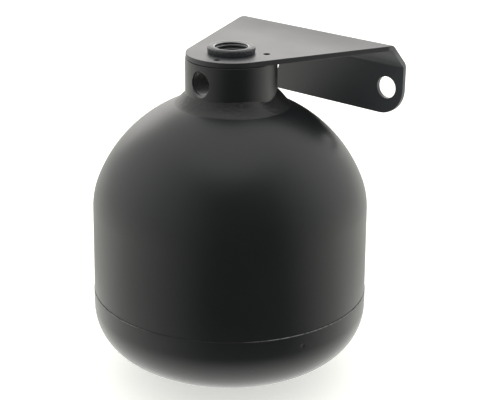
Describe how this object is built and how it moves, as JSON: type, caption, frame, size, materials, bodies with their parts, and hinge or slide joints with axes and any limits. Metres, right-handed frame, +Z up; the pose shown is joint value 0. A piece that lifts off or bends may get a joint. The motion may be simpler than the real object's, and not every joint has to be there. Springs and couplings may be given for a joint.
{
  "type": "diaphragm accumulator",
  "caption": "Welded steel diaphragm accumulator: a domed pressure vessel with a ported neck, a folded mounting bracket on it, and a rubber diaphragm with a valve button inside.",
  "frame": {"origin": "on the vessel's axis, in the top port, level with the top face of the bracket's plate", "axes": "+Z up along the vessel's axis and out of the top port, +Y out of the bracket's flange, and the side port opens towards -Y"},
  "size_m": [0.1094, 0.1167, 0.1342],
  "materials": {
    "black_paint": "satin",
    "steel": "turned",
    "rubber": "matte"
  },
  "bodies": {
    "vessel": {"upper_shell": "black_paint", "lower_shell": "black_paint", "girth_weld": "black_paint", "neck": "black_paint", "neck_weld": "black_paint", "bracket": "black_paint", "clamp_ring": "steel", "diaphragm": "rubber", "charge_plug": "black_paint"},
    "button": {"valve_button": "steel", "backing_washer": "steel"}
  },
  "joints": [
    {"name": "button_travel", "type": "slide", "parent": "vessel", "child": "button", "axis": [0, 0, -1], "range_m": [0, 0.055], "stiffness_N_per_m": 60, "springref_m": -0.05, "deforming": ["diaphragm"]}
  ]
}
